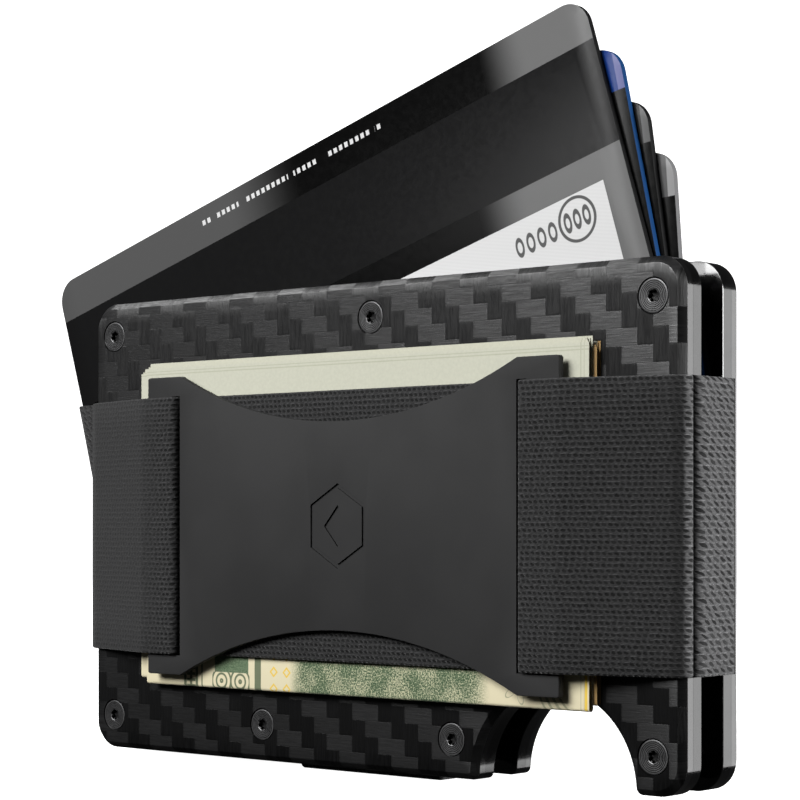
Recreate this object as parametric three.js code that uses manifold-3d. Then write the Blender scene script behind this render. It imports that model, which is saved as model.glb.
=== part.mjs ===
// Minimalist card wallet: two clamped plate pairs held together by elastic, with four fanned
// cards between them and folded banknotes under a cash strap.
// Millimetres. X runs along the wallet, Y from the cash strap side (-Y) to the back plate,
// Z up. The origin is the middle of the back plate's outer face.
import * as THREE from "three";
import { mergeGeometries, mergeVertices } from "three/addons/utils/BufferGeometryUtils.js";
import Module from "manifold-3d";

const wasm = await Module();
wasm.setup();

// Driving dimensions
const PLATE = { length: 86, height: 54, cornerR: 3.2, chamfer: 0.75 };
const OUTER_T = 1.75;
const INNER_T = 1.58;
const GAP = 3.88;
const TOTAL_T = 2 * (OUTER_T + INNER_T) + GAP;
const FRONT_Y = -TOTAL_T;
const CLEAR = 0.03;

const NOTCH = { x: 26.8, z: -26.9, r: 10.1 };

const SCREW = {
  headR: 1.75,
  headDepth: 0.75,
  shaftR: 0.9,
  length: 3.1,
  sunk: 0.06,
  starR: 0.72,
  starDepth: 0.45,
  lobes: 6,
  lobeShare: 0.16,
};
const SCREW_PLACES = [
  [-39.4, 23],
  [2, 23],
  [39.4, 23],
  [39.4, -23],
  [13.5, -22.8],
  [-14.5, -22.8],
  [-39.4, -23],
];
const HOLE_GAP = 0.12;

const BAND = { thickness: 0.6, stretched: 0.35, width: 30, recess: 0.68, recessWidth: 30.6 };
const FOOT_BAND = { width: 20.4, reach: -17, recessWidth: 21 };

const STRAP = { length: 60.2, height: 34.8, waist: 23, thickness: 0.9, cornerR: 0.7, lift: 2.3 };
const STRAP_SLOT = { inner: 24.7, width: 1.3, height: 30.6 };
const STRAP_MARK = { width: 8, height: 9.4, depth: 0.22, line: 0.5, slant: 1.15 };

const CARD = { length: 85.6, height: 53.98, cornerR: 2.9, thickness: 0.76, pitch: 0.95 };
const CARD_EDGE_GAP = 0.3;
const CARD_FIRST_Y = FRONT_Y + OUTER_T + INNER_T + 0.13;
const CARD_POSES = [
  { turn: 16.96, x: -4.9, z: 16.95 },
  { turn: 12.4, x: -4.1, z: 14.41 },
  { turn: 8.4, x: -3.65, z: 11.36 },
  { turn: 4.3, x: -3.2, z: 8.58 },
];

const NOTE_LEAF = 0.33;
const NOTES = [
  { name: "banknote_front", left: -32, right: 32.7, low: -18.8, high: 19.4, behind: 0.83 },
  { name: "banknote_rear", left: -33.8, right: 33.1, low: -18.2, high: 18.9, behind: 0.03 },
];

const COLOURS = {
  carbon: { color: 0x2b2b2d, roughness: 0.3, metalness: 0 },
  innerPlate: { color: 0x161617, roughness: 0.25, metalness: 0.6 },
  screw: { color: 0x55565a, roughness: 0.35, metalness: 1 },
  elastic: { color: 0x2f3031, roughness: 0.9, metalness: 0 },
  strap: { color: 0x404042, roughness: 0.55, metalness: 0 },
  cardGrey: { color: 0x3a3a3c, roughness: 0.3, metalness: 0 },
  cardBlue: { color: 0x1b3c78, roughness: 0.3, metalness: 0 },
  cardBlack: { color: 0x202022, roughness: 0.3, metalness: 0 },
  cardSilver: { color: 0xa6a8ab, roughness: 0.35, metalness: 0.2 },
  note: { color: 0xd8dac4, roughness: 0.8, metalness: 0 },
};

// Geometry helpers
function toSolid(geometry) {
  const bare = geometry.index ? geometry.toNonIndexed() : geometry.clone();
  bare.deleteAttribute("normal");
  bare.deleteAttribute("uv");
  const merged = mergeVertices(bare, 1e-4);
  return new wasm.Manifold(
    new wasm.Mesh({
      numProp: 3,
      vertProperties: merged.attributes.position.array,
      triVerts: new Uint32Array(merged.index.array),
    }),
  );
}

function toGeometry(solid) {
  const mesh = solid.getMesh();
  const geometry = new THREE.BufferGeometry();
  geometry.setAttribute("position", new THREE.BufferAttribute(mesh.vertProperties, 3));
  geometry.setIndex(new THREE.BufferAttribute(mesh.triVerts, 1));
  geometry.computeVertexNormals();
  return geometry;
}

function roundedOutline(width, height, radius) {
  const x = width / 2;
  const z = height / 2;
  const shape = new THREE.Shape();
  shape.moveTo(-x + radius, -z);
  shape.lineTo(x - radius, -z);
  shape.absarc(x - radius, -z + radius, radius, -Math.PI / 2, 0);
  shape.lineTo(x, z - radius);
  shape.absarc(x - radius, z - radius, radius, 0, Math.PI / 2);
  shape.lineTo(-x + radius, z);
  shape.absarc(-x + radius, z - radius, radius, Math.PI / 2, Math.PI);
  shape.lineTo(-x, -z + radius);
  shape.absarc(-x + radius, -z + radius, radius, Math.PI, 1.5 * Math.PI);
  return shape;
}

// An outline in X and Z, extruded through the wallet's thickness from low Y to high Y.
function slab(shape, lowY, highY, curveSegments = 6, bevel = 0) {
  const geometry = new THREE.ExtrudeGeometry(shape, {
    depth: highY - lowY - 2 * bevel,
    curveSegments,
    bevelEnabled: bevel > 0,
    bevelThickness: bevel,
    bevelSize: bevel,
    bevelOffset: -bevel,
    bevelSegments: 1,
  });
  geometry.rotateX(Math.PI / 2);
  geometry.translate(0, highY - bevel, 0);
  return geometry;
}

// An outline in X and Y, extruded along Z and centred on it.
function upright(points, height) {
  const geometry = new THREE.ExtrudeGeometry(new THREE.Shape(points), {
    depth: height,
    bevelEnabled: false,
  });
  geometry.translate(0, 0, -height / 2);
  return geometry;
}

function block(lowX, highX, lowY, highY, lowZ, highZ) {
  const geometry = new THREE.BoxGeometry(highX - lowX, highY - lowY, highZ - lowZ);
  geometry.translate((lowX + highX) / 2, (lowY + highY) / 2, (lowZ + highZ) / 2);
  return geometry;
}

// A turned profile whose axis runs along +Y from the given place.
function turned(profile, x, y, z, segments = 24) {
  const points = profile.map(([radius, along]) => new THREE.Vector2(radius, along));
  const geometry = new THREE.LatheGeometry(points, segments);
  geometry.translate(x, y, z);
  return geometry;
}

// Turns a solid made for the front of the wallet round to its back. The plates and screws
// there are the same, mirrored through the middle of the card gap.
function mirrored(solid) {
  return solid.mirror([0, 1, 0]).translate([0, -TOTAL_T, 0]);
}

const root = new THREE.Group();

function addPiece(name, solid, finish) {
  const mesh = new THREE.Mesh(toGeometry(solid), new THREE.MeshStandardMaterial(finish));
  mesh.name = name;
  root.add(mesh);
  return mesh;
}

// Plates
function notchCutter() {
  const far = TOTAL_T + 4;
  const profile = [[0, 0], [NOTCH.r, 0], [NOTCH.r, far], [0, far]];
  return toSolid(turned(profile, NOTCH.x, FRONT_Y - 2, NOTCH.z, 56));
}

function screwHole(x, z, radius, lowY, highY) {
  const profile = [[0, 0], [radius, 0], [radius, highY - lowY], [0, highY - lowY]];
  return toSolid(turned(profile, x, lowY, z));
}

function countersink(x, z) {
  const mouth = SCREW.headR + HOLE_GAP;
  const throat = SCREW.shaftR + HOLE_GAP;
  const profile = [[0, -1], [mouth, -1], [mouth, SCREW.sunk], [throat, SCREW.sunk + SCREW.headDepth]];
  profile.push([0, SCREW.sunk + SCREW.headDepth]);
  return toSolid(turned(profile, x, FRONT_Y, z));
}

// The carbon plate, chamfered round its outer face, with a recess behind for the cash elastic.
function outerPlate() {
  const back = FRONT_Y + OUTER_T;
  const { length, height, cornerR, chamfer } = PLATE;
  const shape = roundedOutline(length, height, cornerR);
  const chamfered = toSolid(slab(shape, FRONT_Y, back + chamfer, 6, chamfer));
  const rear = toSolid(block(-length, length, back, back + 2, -height, height));
  const half = BAND.recessWidth / 2;
  const recess = toSolid(block(-length, length, back - BAND.recess, back + 1, -half, half));
  let plate = chamfered.subtract(rear).subtract(recess).subtract(notchCutter());
  for (const [x, z] of SCREW_PLACES) {
    plate = plate.subtract(countersink(x, z));
    plate = plate.subtract(screwHole(x, z, SCREW.shaftR + HOLE_GAP, FRONT_Y - 1, back + 1));
  }
  return plate;
}

// The black plate, with recesses in its outer face for the main elastic and the foot elastic.
function innerPlate() {
  const outer = FRONT_Y + OUTER_T + CLEAR;
  const inner = FRONT_Y + OUTER_T + INNER_T;
  const { length, height, cornerR } = PLATE;
  const half = BAND.recessWidth / 2;
  const footHalf = FOOT_BAND.recessWidth / 2;
  const floor = outer + BAND.recess;
  let plate = toSolid(slab(roundedOutline(length, height, cornerR), outer, inner))
    .subtract(toSolid(block(-length, length, outer - 1, floor, -half, half)))
    .subtract(toSolid(block(-footHalf, footHalf, outer - 1, floor, -height, FOOT_BAND.reach + 0.3)))
    .subtract(notchCutter());
  for (const [x, z] of SCREW_PLACES)
    plate = plate.subtract(screwHole(x, z, SCREW.shaftR + HOLE_GAP / 2, outer - 1, inner + 1));
  return plate;
}

// A countersunk screw with a six-lobed drive.
function screw(x, z) {
  const { headR, headDepth, shaftR, length, sunk, starR, starDepth, lobes, lobeShare } = SCREW;
  const start = FRONT_Y + sunk;
  const profile = [[0, 0], [headR, 0], [shaftR, headDepth], [shaftR, length], [0, length]];
  const body = toSolid(turned(profile, x, start, z));
  const star = new THREE.Shape();
  for (let i = 0; i < 4 * lobes; i++) {
    const angle = (i * Math.PI) / (2 * lobes);
    const radius = starR * (1 + lobeShare * Math.cos(lobes * angle));
    const point = [radius * Math.cos(angle), radius * Math.sin(angle)];
    if (i === 0) star.moveTo(...point);
    else star.lineTo(...point);
  }
  const drive = slab(star, start - 1, start + starDepth);
  drive.translate(x, 0, z);
  return body.subtract(toSolid(drive));
}

const front = { outer: outerPlate(), inner: innerPlate() };
addPiece("front_carbon_plate", front.outer, COLOURS.carbon);
addPiece("front_inner_plate", front.inner, COLOURS.innerPlate);
addPiece("back_carbon_plate", mirrored(front.outer), COLOURS.carbon);
addPiece("back_inner_plate", mirrored(front.inner), COLOURS.innerPlate);
SCREW_PLACES.forEach(([x, z], i) => {
  const made = screw(x, z);
  addPiece("front_screw_" + (i + 1), made, COLOURS.screw);
  addPiece("back_screw_" + (i + 1), mirrored(made), COLOURS.screw);
});

// Elastics
const seam = { y: FRONT_Y + OUTER_T, x: PLATE.length / 2 };

// The furthest left that any card reaches at a height, given with the card's middle depth.
function cardEdgesAt(z) {
  return CARD_POSES.map(({ turn, x, z: middle }, i) => {
    const angle = THREE.MathUtils.degToRad(turn);
    const edge = x - CARD.length / 2 / Math.cos(angle) - (z - middle) * Math.tan(angle);
    return { x: edge, y: CARD_FIRST_Y + i * CARD.pitch };
  });
}

// How far left the main elastic's inner side lies at a depth and height: a taut line over
// the plates' edges and over the edges of the cards that stick out.
function tautLeft(y, z, points) {
  let furthest = -seam.x - CLEAR;
  for (const a of points)
    for (const b of points)
      if (a.y < b.y && y >= a.y && y <= b.y) {
        const share = (y - a.y) / (b.y - a.y);
        furthest = Math.min(furthest, a.x + share * (b.x - a.x));
      }
  return furthest;
}

// The main elastic: a loop round both inner plates, pushed out at the left by the cards and
// drawn thinner over the plates' right edges.
function mainElastic() {
  const t = BAND.thickness;
  const half = BAND.width / 2;
  const inFront = seam.y + 2 * CLEAR;
  const inBack = -TOTAL_T - inFront;
  const outerRight = seam.x + CLEAR + t;
  const innerRight = outerRight - BAND.stretched;
  const columns = 13;
  const rows = 5;
  const positions = [];
  const faces = [];
  const ring = (z) => {
    const pushed = cardEdgesAt(z).flatMap((edge) => [
      { x: edge.x - CARD_EDGE_GAP, y: edge.y },
      { x: edge.x - CARD_EDGE_GAP, y: edge.y + CARD.thickness },
    ]);
    const base = -seam.x - CLEAR;
    const points = [{ x: base, y: inFront }, ...pushed, { x: base, y: inBack }];
    const inner = [];
    const outer = [];
    for (let i = 0; i <= columns; i++) {
      const y = inFront + ((inBack - inFront) * i) / columns;
      const reach = tautLeft(y, z, points);
      const innerY = THREE.MathUtils.clamp(y, inFront + t, inBack - t);
      inner.push([reach, innerY]);
      outer.push([reach - t, y]);
    }
    return [inner, outer];
  };
  for (let k = 0; k <= rows; k++) {
    const z = -half + (2 * half * k) / rows;
    const [inner, outer] = ring(z);
    const outside = [...outer, [outerRight, inBack], [outerRight, inFront]];
    const inside = [...inner, [innerRight, inBack - t], [innerRight, inFront + t]];
    for (const [x, y] of [...outside, ...inside]) positions.push(x, y, z);
  }
  const n = columns + 3;
  const at = (k, side, i) => 2 * n * k + side * n + (i % n);
  const quad = (a, b, c, d) => faces.push(a, b, c, a, c, d);
  for (let k = 0; k < rows; k++)
    for (let i = 0; i < n; i++) {
      quad(at(k, 0, i), at(k + 1, 0, i), at(k + 1, 0, i + 1), at(k, 0, i + 1));
      quad(at(k, 1, i), at(k, 1, i + 1), at(k + 1, 1, i + 1), at(k + 1, 1, i));
    }
  for (let i = 0; i < n; i++) {
    quad(at(0, 0, i), at(0, 0, i + 1), at(0, 1, i + 1), at(0, 1, i));
    quad(at(rows, 0, i), at(rows, 1, i), at(rows, 1, i + 1), at(rows, 0, i + 1));
  }
  const geometry = new THREE.BufferGeometry();
  geometry.setAttribute("position", new THREE.Float32BufferAttribute(positions, 3));
  geometry.setIndex(faces);
  return toSolid(geometry);
}

// A ribbon of even thickness whose inner side follows the given X-Y points.
function ribbon(points, thickness, height) {
  const outer = [];
  const inner = [];
  points.forEach(([x, y], i) => {
    const before = points[Math.max(i - 1, 0)];
    const after = points[Math.min(i + 1, points.length - 1)];
    const into = new THREE.Vector2(x - before[0], y - before[1]).normalize();
    const out = new THREE.Vector2(after[0] - x, after[1] - y).normalize();
    if (i === 0) into.copy(out);
    if (i === points.length - 1) out.copy(into);
    const mid = into.clone().add(out).normalize();
    const spread = thickness / 2 / Math.max(mid.dot(into), 0.35);
    outer.push(new THREE.Vector2(x + mid.y * spread, y - mid.x * spread));
    inner.push(new THREE.Vector2(x - mid.y * spread, y + mid.x * spread));
  });
  return upright([...outer, ...inner.reverse()], height);
}

// The cash elastic: a loop round the front carbon plate. It passes behind the strap plate,
// out through its slots, over its tabs, and round the plate's ends into the seam.
function cashElastic() {
  const t = BAND.thickness;
  const face = FRONT_Y - STRAP.lift - STRAP.thickness;
  const behindStrap = FRONT_Y - STRAP.lift + CLEAR + t / 2;
  const slotX = STRAP_SLOT.inner + STRAP_SLOT.width / 2;
  const tabX = STRAP.length / 2;
  const endX = seam.x + CLEAR + t / 2;
  const hidden = seam.y - BAND.recess + 0.02 + t / 2;
  const half = [
    [0, behindStrap],
    [slotX, behindStrap],
    [slotX, face - t / 2 - 0.05],
    [tabX + 0.3, face - t / 2 - 0.05],
    [seam.x - 0.6, FRONT_Y - t / 2 - 0.02],
    [endX, FRONT_Y + 0.42],
    [endX, hidden - 0.12],
    [endX - 0.3, hidden],
    [0, hidden],
  ];
  const side = toSolid(ribbon(half, t, BAND.width));
  return side.add(side.mirror([1, 0, 0]));
}

// The foot elastic: joins the plates along the bottom edge, its ends held in the seams.
function footElastic() {
  const t = BAND.thickness;
  const inFront = seam.y + 2 * CLEAR;
  const inBack = -TOTAL_T - inFront;
  const low = -PLATE.height / 2 - CLEAR - t;
  const half = FOOT_BAND.width / 2;
  return toSolid(block(-half, half, inFront, inBack, low, low + t))
    .add(toSolid(block(-half, half, inFront, inFront + t, low, FOOT_BAND.reach)))
    .add(toSolid(block(-half, half, inBack - t, inBack, low, FOOT_BAND.reach)));
}

addPiece("main_elastic", mainElastic(), COLOURS.elastic);
addPiece("foot_elastic", footElastic(), COLOURS.elastic);
addPiece("cash_elastic", cashElastic(), COLOURS.elastic);

// Strap plate: a moulded plate with a slot near each end and an arched waist.
function strapPlate() {
  const { length, height, waist, thickness, cornerR, lift } = STRAP;
  const back = FRONT_Y - lift;
  const arcStart = STRAP_SLOT.inner;
  const rise = (height - waist) / 2;
  const arcR = (arcStart ** 2 + rise ** 2) / (2 * rise);
  const arcHalf = Math.asin(arcStart / arcR);
  const x = length / 2;
  const z = height / 2;
  const shape = new THREE.Shape();
  shape.moveTo(-x + cornerR, -z);
  shape.lineTo(-arcStart, -z);
  const lowArc = [-waist / 2 - arcR, Math.PI / 2 + arcHalf, Math.PI / 2 - arcHalf];
  shape.absarc(0, lowArc[0], arcR, lowArc[1], lowArc[2], true);
  shape.lineTo(x - cornerR, -z);
  shape.absarc(x - cornerR, -z + cornerR, cornerR, -Math.PI / 2, 0);
  shape.lineTo(x, z - cornerR);
  shape.absarc(x - cornerR, z - cornerR, cornerR, 0, Math.PI / 2);
  shape.lineTo(arcStart, z);
  shape.absarc(0, waist / 2 + arcR, arcR, arcHalf - Math.PI / 2, -Math.PI / 2 - arcHalf, true);
  shape.lineTo(-x + cornerR, z);
  shape.absarc(-x + cornerR, z - cornerR, cornerR, Math.PI / 2, Math.PI);
  shape.lineTo(-x, -z + cornerR);
  shape.absarc(-x + cornerR, -z + cornerR, cornerR, Math.PI, 1.5 * Math.PI);
  let plate = toSolid(slab(shape, back - thickness, back, 10));
  const slotHalf = STRAP_SLOT.height / 2;
  const slotEnd = STRAP_SLOT.inner + STRAP_SLOT.width;
  for (const side of [-1, 1]) {
    const ends = [side * STRAP_SLOT.inner, side * slotEnd].sort((a, b) => a - b);
    const slot = block(ends[0], ends[1], back - 3, back + 1, -slotHalf, slotHalf);
    plate = plate.subtract(toSolid(slot));
  }
  return plate.subtract(markCutter(back - thickness));
}

// The pressed mark in the middle of the strap plate: a hexagon line round a diamond.
function markCutter(face) {
  const { width, height, depth, line, slant } = STRAP_MARK;
  const hexagon = (inset) => {
    const x = width / 2 - inset;
    const z = height / 2 - inset * slant;
    const shoulder = z / 2;
    const corners = [[0, -z], [x, -shoulder], [x, shoulder], [0, z], [-x, shoulder], [-x, -shoulder]];
    return new THREE.Shape(corners.map(([a, b]) => new THREE.Vector2(a, b)));
  };
  const cut = (shape) => toSolid(slab(shape, face - 1, face + depth));
  const ring = cut(hexagon(0)).subtract(cut(hexagon(line)));
  const x = width / 4;
  const z = height / 4;
  const points = [[0, -z], [x, 0], [0, z], [-x, 0]];
  const diamond = new THREE.Shape(points.map(([a, b]) => new THREE.Vector2(a, b)));
  return ring.add(cut(diamond));
}

addPiece("strap_plate", strapPlate(), COLOURS.strap);

// Cards, fanned about their lower left ends
const cardFinishes = [COLOURS.cardGrey, COLOURS.cardBlue, COLOURS.cardBlack, COLOURS.cardSilver];
CARD_POSES.forEach(({ turn, x, z }, i) => {
  const low = CARD_FIRST_Y + i * CARD.pitch;
  const shape = roundedOutline(CARD.length, CARD.height, CARD.cornerR);
  const solid = toSolid(slab(shape, 0, CARD.thickness));
  const mesh = addPiece("card_" + (i + 1), solid, cardFinishes[i]);
  mesh.position.set(x, low, z);
  mesh.rotation.y = -THREE.MathUtils.degToRad(turn);
});

// Folded banknotes: two leaves joined by a round fold along the bottom
function foldedNote({ left, right, low, high, behind }) {
  const radius = NOTE_LEAF + 0.03;
  const backY = FRONT_Y - behind;
  const middle = backY - radius;
  const profile = new THREE.Shape();
  profile.moveTo(backY, high);
  profile.lineTo(backY - NOTE_LEAF, high);
  profile.lineTo(backY - NOTE_LEAF, low + radius);
  profile.lineTo(middle - 0.03, low + radius);
  profile.lineTo(middle - 0.03, high);
  profile.lineTo(middle - radius, high);
  profile.lineTo(middle - radius, low + radius);
  profile.absarc(middle, low + radius, radius, Math.PI, 2 * Math.PI);
  const geometry = new THREE.ExtrudeGeometry(profile, {
    depth: right - left,
    curveSegments: 8,
    bevelEnabled: false,
  });
  // The profile holds Y and Z, and its extrusion becomes X.
  const turn = new THREE.Matrix4().makeBasis(
    new THREE.Vector3(0, 1, 0),
    new THREE.Vector3(0, 0, 1),
    new THREE.Vector3(1, 0, 0),
  );
  geometry.applyMatrix4(turn);
  geometry.translate(left, 0, 0);
  return toSolid(geometry);
}

for (const note of NOTES) addPiece(note.name, foldedNote(note), COLOURS.note);

export default root;
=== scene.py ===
"""Looks of the card wallet, laid out as a Blender add-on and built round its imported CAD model."""
import math

import bmesh
import bpy
from bpy.props import FloatProperty, FloatVectorProperty, IntProperty, PointerProperty
from mathutils import Matrix, Vector


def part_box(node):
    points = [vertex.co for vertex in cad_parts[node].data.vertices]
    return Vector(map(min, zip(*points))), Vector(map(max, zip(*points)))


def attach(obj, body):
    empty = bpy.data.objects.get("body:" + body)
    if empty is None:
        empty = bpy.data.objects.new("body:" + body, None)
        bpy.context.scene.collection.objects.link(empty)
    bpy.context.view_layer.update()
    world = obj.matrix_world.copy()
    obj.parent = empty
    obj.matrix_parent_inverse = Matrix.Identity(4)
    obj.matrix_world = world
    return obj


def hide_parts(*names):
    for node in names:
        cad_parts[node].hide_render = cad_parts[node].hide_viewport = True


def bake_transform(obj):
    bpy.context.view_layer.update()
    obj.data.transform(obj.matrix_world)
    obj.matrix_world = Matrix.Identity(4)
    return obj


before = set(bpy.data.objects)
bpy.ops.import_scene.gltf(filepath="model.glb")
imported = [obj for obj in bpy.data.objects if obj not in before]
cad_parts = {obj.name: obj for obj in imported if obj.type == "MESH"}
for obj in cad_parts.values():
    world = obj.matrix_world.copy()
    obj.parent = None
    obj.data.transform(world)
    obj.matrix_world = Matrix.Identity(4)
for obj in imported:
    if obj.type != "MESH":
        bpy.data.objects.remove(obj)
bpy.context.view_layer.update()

bl_info = {
    "name": "Card Wallet",
    "version": (1, 0, 0),
    "blender": (4, 5, 0),
    "location": "View3D > Sidebar > Wallet",
    "description": "Builds a carbon card wallet with fanned cards and folded notes",
    "category": "Object",
}

MM = 0.001

# Places taken from the CAD model, in metres
PLATE_LOW, PLATE_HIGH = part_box("front_carbon_plate")
INNER_LOW, INNER_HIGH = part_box("front_inner_plate")
BACK_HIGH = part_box("back_carbon_plate")[1]
STRAP_LOW, STRAP_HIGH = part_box("strap_plate")
MAIN_LOW, MAIN_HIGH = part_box("main_elastic")
CASH_LOW, CASH_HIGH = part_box("cash_elastic")
FOOT_LOW, FOOT_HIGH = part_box("foot_elastic")
FACE_Y = PLATE_LOW.y
SEAM_Y = PLATE_HIGH.y
MIDDLE_Y = (PLATE_LOW.y + BACK_HIGH.y) / 2
SCREW_COUNT = sum(name.startswith("front_screw_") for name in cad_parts)
CARD_COUNT = sum(name.startswith("card_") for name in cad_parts)

# Sizes that more than one piece needs
RECESS_HALF_Z, RECESS_DEPTH = 15.03 * MM, 0.68 * MM
SLOT_INNER, SLOT_OUTER = 24.7 * MM, 26.0 * MM
CARD_HALF_X, CARD_HALF_Z = 42.8 * MM, 26.99 * MM
CARD_TURNS = (16.96, 12.4, 8.4, 4.3)  # degrees, front card first, as in the CAD model
# Near-black painted shade for the holes of the knit
ELASTIC_HOLE_SHADE = (0.005, 0.005, 0.0052)
CREASE = 28.0  # degrees, the least angle that shades as an edge on plates and cards

# The main view's turn from straight ahead, and the way it looks
VIEW_TURN = math.radians(40.44)
VIEW_BACK = Vector((-math.sin(VIEW_TURN), math.cos(VIEW_TURN), 0))


class WalletSizes(bpy.types.PropertyGroup):
    """Sizes that shape the wallet's visible surfaces"""

    corner: FloatProperty(name="Plate corner", description="Radius of the plates' corners",
                          default=3.2 * MM, unit="LENGTH", precision=5)
    chamfer: FloatProperty(name="Chamfer", description="Width of the chamfer round the carbon faces",
                           default=0.75 * MM, unit="LENGTH", precision=5)
    notch_x: FloatProperty(name="Notch place", description="How far the thumb notch is from the middle",
                           default=26.8 * MM, unit="LENGTH", precision=5)
    notch_z: FloatProperty(name="Notch height", description="Height of the notch's centre",
                           default=-26.9 * MM, unit="LENGTH", precision=5)
    notch_radius: FloatProperty(name="Notch radius", description="Radius of the thumb notch",
                                default=10.1 * MM, unit="LENGTH", precision=5)
    tow: FloatProperty(name="Tow width", description="Width of an upright carbon tow in the twill",
                       default=1.91 * MM, unit="LENGTH", precision=5)
    tow_rise: FloatProperty(name="Tow height", description="Width of a level carbon tow in the twill",
                            default=1.8 * MM, unit="LENGTH", precision=5)
    screw_rings: IntProperty(name="Screw rings", description="Turned rings on each screw head",
                             default=5, min=1, max=12)
    band: FloatProperty(name="Elastic thickness", description="Thickness of the elastic bands",
                        default=0.6 * MM, unit="LENGTH", precision=5)
    row_pitch: FloatProperty(name="Row pitch", description="Distance between rows of the elastic's weave",
                             default=0.58 * MM, unit="LENGTH", precision=5)
    stitch_pitch: FloatProperty(name="Stitch pitch", description="Distance between stitches in a row",
                                default=0.67 * MM, unit="LENGTH", precision=5)
    card_corner: FloatProperty(name="Card corner", description="Radius of a card's corners",
                               default=2.9 * MM, unit="LENGTH", precision=5)


class WalletColours(bpy.types.PropertyGroup):
    """Colours of the wallet's finishes"""

    # The light tow colour is the same carbon as the dark tow, with painted light where the level tows
    # catch light from above.
    tow_painted_lit: FloatVectorProperty(name="Light tow", description="Carbon tows that run along the wallet",
                                   subtype="COLOR", default=(0.0135, 0.0135, 0.0138), min=0, max=1)
    tow_dark: FloatVectorProperty(name="Dark tow", description="Carbon tows that run up the wallet",
                                  subtype="COLOR", default=(0.0060, 0.0060, 0.0062), min=0, max=1)
    elastic: FloatVectorProperty(name="Elastic yarn", description="Raised yarn of the elastic",
                                 subtype="COLOR", default=(0.0245, 0.0245, 0.025), min=0, max=1)
    strap: FloatVectorProperty(name="Strap plate", description="Moulded strap plate",
                               subtype="COLOR", default=(0.026, 0.026, 0.0263), min=0, max=1)
    paper: FloatVectorProperty(name="Note paper", description="Paper of the banknotes",
                               subtype="COLOR", default=(0.51, 0.512, 0.42), min=0, max=1)
    ink: FloatVectorProperty(name="Note ink", description="Engraving ink of the banknotes",
                             subtype="COLOR", default=(0.045, 0.085, 0.040), min=0, max=1)


# ---------------------------------------------------------------- node helpers

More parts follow.
